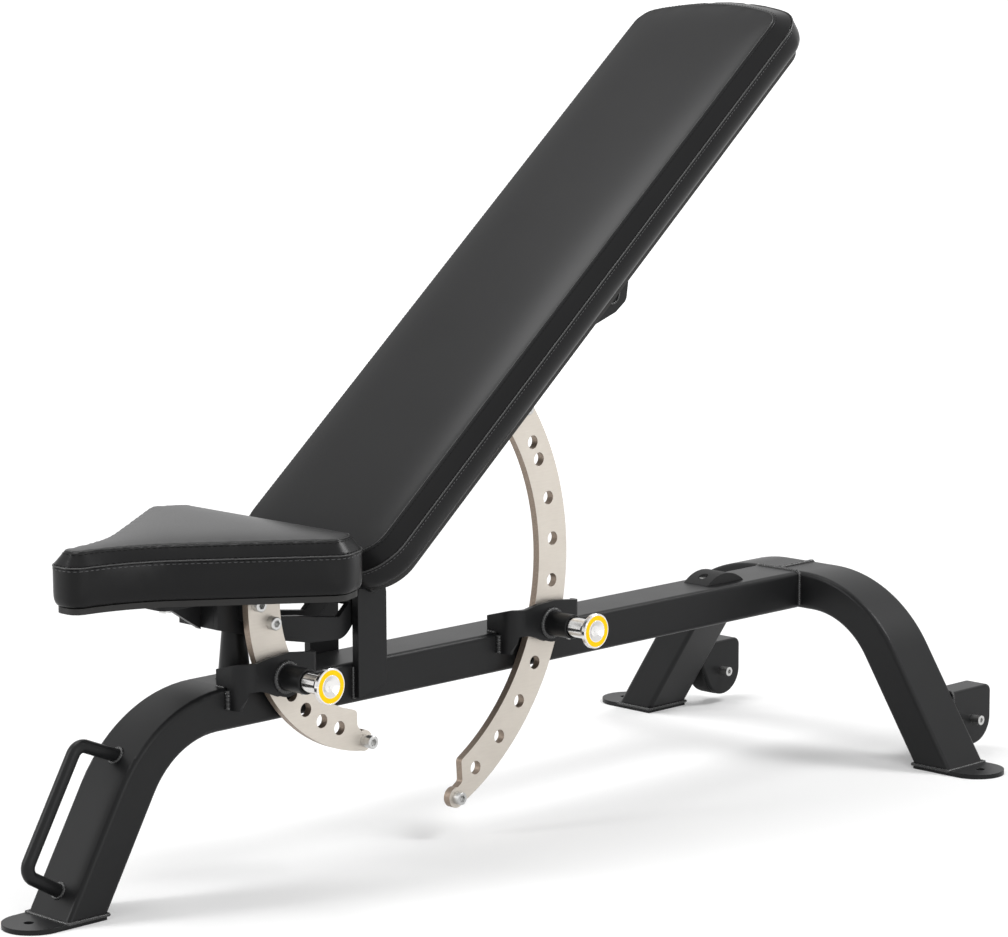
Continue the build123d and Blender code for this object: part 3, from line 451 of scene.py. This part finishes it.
SPINE_HALF = 0.0254
SPINE_TOP = 0.0173
SPINE_LOW = -0.0266
SPINE_END = 0.705
CROSS_AT = 0.518
CROSS_DEPTH = -0.018
CROSS_BEAD_R = 0.0126
CROSS_JOINTS = (SPINE_HALF, 0.0566, 0.0624)
PLATES_AT = (0.110, 0.640)
PLATE_BEAD_HALF = 0.028
cross_round = [
    (CROSS_AT + CROSS_BEAD_R * math.cos(t), CROSS_DEPTH + CROSS_BEAD_R * math.sin(t)) for t in turns
]
weld("cross_tube_beads", "backrest", [
    on_back([(along, side * y, off) for along, off in cross_round])
    for side in (-1, 1) for y in CROSS_JOINTS
], radius=0.0016, closed=True)
weld("mount_plate_beads", "backrest", [
    on_back([(at + end * PLATE_BEAD_HALF, side * SPINE_HALF, SPINE_TOP) for end in (-1, 1)])
    for at in PLATES_AT for side in (-1, 1)
], radius=0.0020)
weld("spine_cap_bead", "backrest", [on_back([
    (SPINE_END, -SPINE_HALF, SPINE_TOP - 0.001), (SPINE_END, -SPINE_HALF, SPINE_LOW),
    (SPINE_END, SPINE_HALF, SPINE_LOW), (SPINE_END, SPINE_HALF, SPINE_TOP - 0.001),
])], radius=0.0014)

# ---- wheels and brackets ----
# A folded steel bracket welded to each rear leg holds a moulded hub with a rubber tyre on an axle bolt. The
# rest for the spine on top of the beam is moulded from the same rubber.

coat_nodes(frame_black, "wheel_bracket_near", "wheel_bracket_far")
BRACKET_IN, BRACKET_OUT = 0.2088, 0.2472
BRACKET_LOW, BRACKET_TOP = 0.068, 0.0925
BRACKET_BEAD_X = LEG_BACK + 0.0004
BEND_Y, BEND_Z = 0.0037, 0.0040
bracket_run = [
    (BRACKET_IN, BRACKET_LOW), (BRACKET_IN, BRACKET_TOP - BEND_Z), (BRACKET_IN + BEND_Y, BRACKET_TOP),
    (BRACKET_OUT - BEND_Y, BRACKET_TOP), (BRACKET_OUT, BRACKET_TOP - BEND_Z), (BRACKET_OUT, BRACKET_LOW),
]
for side in (-1, 1):
    weld("bracket_beads", "frame", [
        [(BRACKET_BEAD_X, side * y, z) for y, z in bracket_run],
    ], radius=0.0022)
rubber = Finish("rubber")
dust = rubber.grain(0.02, 3.0)
pore = rubber.grain(0.0006, 1.0)
rubber.surface(
    Base_Color=rubber.blend(dust, (0.009, 0.009, 0.0095, 1), (0.018, 0.018, 0.018, 1)),
    Roughness=0.62 + dust * 0.15, Normal=rubber.relief(pore, 0.0001, rubber.rounded(0.0012)),
    Specular_IOR_Level=0.3,
)
coat_nodes(rubber, "wheel_tyre_near", "wheel_tyre_far", "beam_bumper")
hub_black = Finish("hub_black")
mottle = hub_black.grain(0.003, 2.0)
hub_black.surface(
    Base_Color=hub_black.blend(mottle, (0.014, 0.014, 0.015, 1), (0.02, 0.02, 0.021, 1)),
    Roughness=0.4 + mottle * 0.1, Normal=hub_black.relief(mottle, 0.0001), Specular_IOR_Level=0.35,
)
coat_nodes(hub_black, "wheel_hub_near", "wheel_hub_far")

# ---- pad boards ----
# Boards under the pads, covered in black backing cloth. The mounting plates are screwed to them from
# below, and the pads' covers are stapled round their edges.

board_black = Finish("board_black")
fibre = board_black.grain(0.004, 3.0, (0.2, 1.0, 1.0))
board_black.surface(
    Base_Color=board_black.blend(fibre, (0.012, 0.012, 0.012, 1), (0.022, 0.021, 0.020, 1)),
    Roughness=0.5 + fibre * 0.15, Normal=board_black.relief(fibre, 0.0001), Specular_IOR_Level=0.3,
)
coat_nodes(board_black, "seat_board", "back_board")

# ---- pads ----
# Foam pads under grained black vinyl, each cover sewn from a face, a slanted band and a side wall. A fine
# cord lies in each of the two seams. Dark stitches run beside both on the band, paler ones below the edge.


def pad_shape(node, turn):
    """The pad's solid as one closed shape, turned to lie flat."""
    shape = bmesh.new()
    shape.from_mesh(frame["nodes"][node].data)
    bmesh.ops.remove_doubles(shape, verts=shape.verts, dist=1e-6)
    bmesh.ops.transform(shape, matrix=turn, verts=shape.verts)
    flat = math.radians(0.5)
    bmesh.ops.dissolve_limit(shape, angle_limit=flat, verts=shape.verts, edges=shape.edges)
    return shape


def seam_loops(shape):
    """The face seam and the edge seam, as closed runs of points, and the underside's height."""
    heights = sorted({round(v.co.z, 5) for v in shape.verts})
    face = max(shape.faces, key=lambda f: (f.normal.z > 0.99) * f.calc_area())
    under = max(shape.faces, key=lambda f: (f.normal.z < -0.99) * f.calc_area())
    face_run = [v.co.copy() for v in face.verts]
    edge_run = [Vector((v.co.x, v.co.y, heights[1])) for v in reversed(under.verts)]
    return face_run, edge_run, heights[0]


def outward(run, i):
    """Direction along a closed run at a point, and level and square to it away from the pad."""
    along = (run[(i + 1) % len(run)] - run[i - 1]).normalized()
    return along, Vector((along.y, -along.x, 0))


def tree_of(points):
    """The points in a tree that finds the nearest of them."""
    tree = KDTree(len(points))
    for i, point in enumerate(points):
        tree.insert(point, i)
    tree.balance()
    return tree


def draw_to(run, mesh, reach):
    """Moves the points of a mesh that lie near a seam onto it, so that the seam stays crisp."""
    tree = tree_of(run)
    taken = set()
    for vertex in mesh.vertices:
        point, i, gap = tree.find(vertex.co)
        if gap < reach and i not in taken:
            taken.update((i - 1, i, i + 1))
            vertex.co = point


def gaps_to(run, spots, beyond):
    """Distance of each spot from a seam, above 0 where beyond says so."""
    tree = tree_of(run)
    found = []
    for spot in spots:
        point, i, gap = tree.find(spot)
        found.append(gap if beyond(spot, point, i) else -gap)
    return found


def swell(obj, held):
    """Pumps the cover up with air from inside while the seams and the underside stay where they are."""
    group = obj.vertex_groups.new(name="held")
    for i, share in enumerate(held):
        if share > 0:
            group.add([i], share, "REPLACE")
    cloth = obj.modifiers.new("cover", "CLOTH")
    cloth.settings.quality = 5
    cloth.settings.mass = 0.3
    cloth.settings.use_pressure = True
    cloth.settings.uniform_pressure_force = AIR_PRESSURE
    cloth.settings.effector_weights.gravity = 0.0
    cloth.settings.vertex_group_mass = "held"
    cloth.collision_settings.use_collision = False
    cloth.collision_settings.use_self_collision = False
    cloth.point_cache.frame_start = 1
    cloth.point_cache.frame_end = AIR_FRAMES
    for step in range(1, AIR_FRAMES + 1):
        bpy.context.scene.frame_set(step)
    shown = obj.evaluated_get(bpy.context.evaluated_depsgraph_get())
    moved = [v.co.copy() for v in shown.data.vertices]
    obj.modifiers.remove(cloth)
    obj.vertex_groups.remove(group)
    bpy.context.scene.frame_set(1)
    return moved


def sew(rows, skin, run, pitch, reach, slope_at):
    """A row of stitches lying on the cover, the same distance from a seam all the way round."""
    one = bmesh.new()
    size = Matrix.Diagonal((THREAD_R, THREAD_R, pitch * STITCH_SHARE, 1))
    bmesh.ops.create_uvsphere(one, u_segments=6, v_segments=5, radius=1, matrix=size)
    stitch = bpy.data.meshes.new("stitch")
    one.to_mesh(stitch)
    one.free()
    line = spaced(run, pitch, closed=True)
    for i, point in enumerate(line):
        along, level = outward(line, i)
        spot, normal, _, _ = skin.find_nearest(point + slope_at(level) * reach)
        side = normal.cross(along).normalized()
        fit = Matrix((
            (side.x, normal.x, along.x, spot.x), (side.y, normal.y, along.y, spot.y),
            (side.z, normal.z, along.z, spot.z), (0, 0, 0, 1),
        ))
        stitch.transform(fit)
        rows.from_mesh(stitch)
        stitch.transform(fit.inverted())
    bpy.data.meshes.remove(stitch)


def settle(made, turn, name):
    """A finished mesh out of a working one, turned back to where the pad stands."""
    bmesh.ops.transform(made, matrix=turn.inverted(), verts=made.verts)
    mesh = bpy.data.meshes.new(name)
    made.to_mesh(mesh)
    made.free()
    return mesh


def upholster(name, node, body, turn, voxel, crown, band_drop, pitch):
    """A whole pad: foam under a cover that swells between its seams, with cords and stitches on it."""
    shape = pad_shape(node, turn)
    face_run, edge_run, underside = seam_loops(shape)
    under_edges = [e for e in shape.edges if all(abs(v.co.z - underside) < 1e-5 for v in e.verts)]
    bmesh.ops.bevel(
        shape, geom=under_edges, offset=UNDER_BEND, offset_type="OFFSET",
        segments=3, profile=0.5, affect="EDGES",
        clamp_overlap=True, material=-1,
    )
    bmesh.ops.recalc_face_normals(shape, faces=shape.faces)
    block = bpy.data.meshes.new(name)
    shape.to_mesh(block)
    shape.free()
    pad = bpy.data.objects.new(name, block)
    bpy.context.scene.collection.objects.link(pad)
    remesh = pad.modifiers.new("even", "REMESH")
    remesh.mode = "VOXEL"
    remesh.voxel_size = voxel
    mesh = bpy.data.meshes.new_from_object(pad.evaluated_get(bpy.context.evaluated_depsgraph_get()))
    pad.modifiers.clear()
    pad.data = mesh
    mesh.name = name
    bpy.data.meshes.remove(block)

    face_line = spaced(face_run, SEAM_STEP, closed=True)
    edge_line = spaced(edge_run, SEAM_STEP, closed=True)
    draw_to(face_line, mesh, voxel / 2)
    draw_to(edge_line, mesh, voxel / 2)
    before = [v.co.copy() for v in mesh.vertices]
    face_gap = gaps_to(face_line, before, lambda s, p, i: (s - p).dot(outward(face_line, i)[1]) > 0)
    edge_gap = gaps_to(edge_line, before, lambda s, p, i: s.z < p.z)
    held = []
    for spot, face, edge in zip(before, face_gap, edge_gap):
        near = min(abs(face), abs(edge), abs(spot.z - underside) * UNDER_HOLD)
        held.append(max(0.0, min(1.0, SEAM_HOLD - near / (HOLD_FADE * voxel))))
    after = swell(pad, held)
    for vertex, start, end, face, edge in zip(mesh.vertices, before, after, face_gap, edge_gap):
        most = crown if face < 0 else WALL_SWELL if edge > 0 else BAND_SWELL
        move = end - start
        if move.length > 1e-7:
            vertex.co = start + move * (most * math.tanh(move.length / most) / move.length)
    cover = bmesh.new()
    cover.from_mesh(mesh)
    cover.verts.ensure_lookup_table()
    loose = [v for v, share in zip(cover.verts, held) if share < 0.5]
    axes = {"use_axis_x": True, "use_axis_y": True, "use_axis_z": True}
    for _ in range(3):
        bmesh.ops.smooth_vert(cover, verts=loose, factor=0.5, **axes)
    cover.to_mesh(mesh)
    cover.free()
    for label, gaps in (("face_gap", face_gap), ("edge_gap", edge_gap)):
        mesh.attributes.new(label, "FLOAT", "POINT").data.foreach_set("value", gaps)
    mesh.shade_smooth()
    mesh.materials.append(vinyl.material)
    finer = pad.modifiers.new("finer", "SUBSURF")
    finer.levels = 1
    finer.render_levels = 1

    bpy.context.view_layer.update()
    skin = BVHTree.FromObject(pad, bpy.context.evaluated_depsgraph_get())
    cords = bmesh.new()
    for line, (lift, radius) in ((face_line, FACE_CORD), (edge_line, EDGE_CORD)):
        run = []
        for point in line[::4]:
            spot, normal, _, _ = skin.find_nearest(point)
            run.append(spot + normal * lift)
        bar = round_bar(run, radius, closed=True, sides=3)
        cords.from_mesh(bar)
        bpy.data.meshes.remove(bar)
    rise = Vector((0, 0, band_drop))
    dark = bmesh.new()
    sew(dark, skin, face_run, pitch, FACE_ROW, lambda level: (level - rise).normalized())
    sew(dark, skin, edge_run, pitch, BAND_ROW, lambda level: (rise - level).normalized())
    light = bmesh.new()
    sew(light, skin, edge_run, pitch, WALL_ROW, lambda level: Vector((0, 0, -1)))
    mesh.transform(turn.inverted())
    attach(pad, body)
    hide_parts(node)
    add_piece(name + "_seams", settle(cords, turn, name + "_seams"), body, cord_black, 180)
    add_piece(name + "_stitches", settle(dark, turn, name + "_stitches"), body, thread, 180)
    edge_row = settle(light, turn, name + "_edge_stitches")
    add_piece(name + "_edge_stitches", edge_row, body, pale_thread, 180)


AIR_PRESSURE = 14.0
AIR_FRAMES = 20
WALL_SWELL = 0.0022
BAND_SWELL = 0.0016
UNDER_BEND = 0.008
UNDER_HOLD = 1.3
SEAM_HOLD = 1.6
HOLD_FADE = 0.7
SEAM_STEP = 0.001
FACE_CORD = (-0.0002, 0.0006)
EDGE_CORD = (0.0004, 0.00095)
THREAD_R = 0.00045
STITCH_SHARE = 0.36
FACE_ROW = 0.0046
BAND_ROW = 0.0024
WALL_ROW = 0.0036
SEAT_BAND_DROP = 17.4 / 14.2
BACK_BAND_DROP = 16.7 / 21
vinyl = Finish("vinyl")
cells = {"Vector": vinyl.place, "Scale": 700.0}
pebble = vinyl.node("ShaderNodeTexVoronoi", {"feature": "SMOOTH_F1"}, cells)
crease = vinyl.grain(0.0022, 3.0)
drift = vinyl.grain(0.12, 2.0)
face_seam = vinyl.node("ShaderNodeAttribute", {"attribute_name": "face_gap"}, out="Fac")
edge_seam = vinyl.node("ShaderNodeAttribute", {"attribute_name": "edge_gap"}, out="Fac")
# Along both seams this mask sinks the cover into a groove and darkens its colour to near black: painted
# shade in the seam creases.
seam_groove_and_shade = 2 - vinyl.step(abs(face_seam), 0.0002, 0.0014) - vinyl.step(abs(edge_seam), 0.0002, 0.0018)
strip = vinyl.step(face_seam, 0.0006, 0.0014) * (1 - vinyl.step(face_seam, 0.0034, 0.0044))
leather = vinyl.relief(pebble * 0.7 + crease * 0.3, 0.00004)
skin_black = vinyl.blend(drift, (0.0058, 0.0058, 0.0061, 1), (0.0082, 0.0082, 0.0086, 1))
vinyl.surface(
    # Near-black colour along the seams: painted shade in their creases.
    Base_Color=vinyl.blend(seam_groove_and_shade, skin_black, (0.004, 0.004, 0.004, 1)),
    Roughness=0.25 + drift * 0.05 + pebble * 0.06,
    Normal=vinyl.relief(1 - seam_groove_and_shade + strip * 0.6, 0.0007, leather), Specular_IOR_Level=0.155,
)
cord_black = Finish("cord_black")
twist = cord_black.grain(0.0008, 1.0)
cord_black.surface(
    Base_Color=cord_black.blend(twist, (0.010, 0.010, 0.010, 1), (0.020, 0.020, 0.020, 1)),
    Roughness=0.30 + twist * 0.15, Normal=cord_black.relief(twist, 0.00004), Specular_IOR_Level=0.5,
)
thread = Finish("thread")
ply = thread.grain(0.0004, 1.0)
thread.surface(
    Base_Color=thread.blend(ply, (0.0015, 0.0015, 0.0015, 1), (0.006, 0.006, 0.006, 1)),
    Roughness=0.6 + ply * 0.2, Normal=thread.relief(ply, 0.00005), Specular_IOR_Level=0.1,
)
pale_thread = Finish("pale_thread")
strand = pale_thread.grain(0.0004, 1.0)
pale_thread.surface(
    Base_Color=pale_thread.blend(strand, (0.045, 0.045, 0.047, 1), (0.100, 0.100, 0.104, 1)),
    Roughness=0.5 + strand * 0.2, Normal=pale_thread.relief(strand, 0.00005),
)
upholster("seat_cushion", "seat_pad", "seat", Matrix.Identity(4),
          voxel=0.0045, crown=0.0055, band_drop=SEAT_BAND_DROP, pitch=0.0070)
upholster("back_cushion", "back_pad", "backrest", lay_back,
          voxel=0.0060, crown=0.0050, band_drop=BACK_BAND_DROP, pitch=0.0052)

# ---- floor, light and camera ----
# Plain pale studio floor under four soft lamps, seen from in front and a little above. The floor and the
# world are brighter for the camera and for reflections than for the light that they give.

floor_bm = bmesh.new()
bmesh.ops.create_grid(floor_bm, x_segments=4, y_segments=4, size=60)
floor_mesh = bpy.data.meshes.new("floor")
floor_bm.to_mesh(floor_mesh)
floor_bm.free()
floor = bpy.data.objects.new("floor", floor_mesh)
bpy.context.scene.collection.objects.link(floor)
pale = Finish("pale_floor")
patch = pale.grain(3.0, 2.0)


def clear_view(finish):
    """1 for rays that see the background straight, mirrored or through glass, 0 for its own light."""
    kinds = ("Is Camera Ray", "Is Glossy Ray", "Is Transmission Ray")
    seen, mirrored, through = (finish.node("ShaderNodeLightPath", out=kind) for kind in kinds)
    return seen.maths("MAXIMUM", seen.maths("MAXIMUM", seen, mirrored), through)


chalk = pale.blend(patch, (0.80, 0.80, 0.80, 1), (0.82, 0.82, 0.82, 1))
matt = pale.node("ShaderNodeBsdfDiffuse", {}, {"Color": chalk})
away = pale.node("ShaderNodeVectorMath", {"operation": "LENGTH"}, {0: pale.place}, out="Value")
glow = pale.node("ShaderNodeEmission", {}, {
    "Color": (1, 1, 1, 1), "Strength": clear_view(pale) * (0.20 + 0.8 * pale.step(away, 0.9, 4.5)),
})
both = pale.node("ShaderNodeAddShader", {}, {0: matt, 1: glow})
pale.node("ShaderNodeOutputMaterial", {"target": "ALL"}, {"Surface": both}, out=None)
floor_mesh.materials.append(pale.material)

studio = Finish("studio", bpy.data.worlds)
shine = 0.35 + 0.65 * clear_view(studio)
sky = studio.node("ShaderNodeBackground", {}, {"Color": (1, 1, 1, 1), "Strength": shine})
studio.node("ShaderNodeOutputWorld", {}, {"Surface": sky}, out=None)
bpy.context.scene.world = studio.material


def softbox(name, place, aim, width, height, watts):
    """Rectangular studio light turned towards a point."""
    lamp = bpy.data.lights.new(name, "AREA")
    lamp.shape = "RECTANGLE"
    lamp.size = width
    lamp.size_y = height
    lamp.energy = watts
    obj = bpy.data.objects.new(name, lamp)
    obj.location = place
    obj.rotation_euler = (Vector(aim) - Vector(place)).to_track_quat("-Z", "Y").to_euler()
    bpy.context.scene.collection.objects.link(obj)


softbox("overhead_light", (-0.37, 0.7, 3.1), (0, 0, 0.3), width=1.5, height=1.5, watts=48)
softbox("rear_light", (1.7, -1.15, 2.4), (-0.2, 0, 0.4), width=1.0, height=1.0, watts=42)
softbox("fill_light", (-0.8, -3.4, 1.4), (0, 0, 0.35), width=2.2, height=2.2, watts=40)
softbox("front_light", (-2.9, 1.6, 1.9), (-0.3, 0, 0.35), width=0.5, height=2.2, watts=50)

eye = Vector((-3.2270, -3.2805, 1.1744))
aim = Vector((0.0765, 0.0, 0.42285))
roll = math.radians(-0.23)
back_way = (eye - aim).normalized()
level_right = Vector((0, 0, 1)).cross(back_way).normalized()
level_up = back_way.cross(level_right)
right = level_right * math.cos(roll) + level_up * math.sin(roll)
up = level_up * math.cos(roll) - level_right * math.sin(roll)
camera = bpy.data.cameras.new("camera")
camera.sensor_width = 36.0
camera.lens = 132.57
camera.shift_x = -0.0130
camera.shift_y = 0.0123
camera.clip_end = 200.0
view = bpy.data.objects.new("camera", camera)
view.matrix_world = Matrix((
    (right.x, up.x, back_way.x, eye.x), (right.y, up.y, back_way.y, eye.y),
    (right.z, up.z, back_way.z, eye.z), (0, 0, 0, 1),
))
bpy.context.scene.collection.objects.link(view)
bpy.context.scene.camera = view
bpy.context.scene.view_settings.view_transform = "Standard"
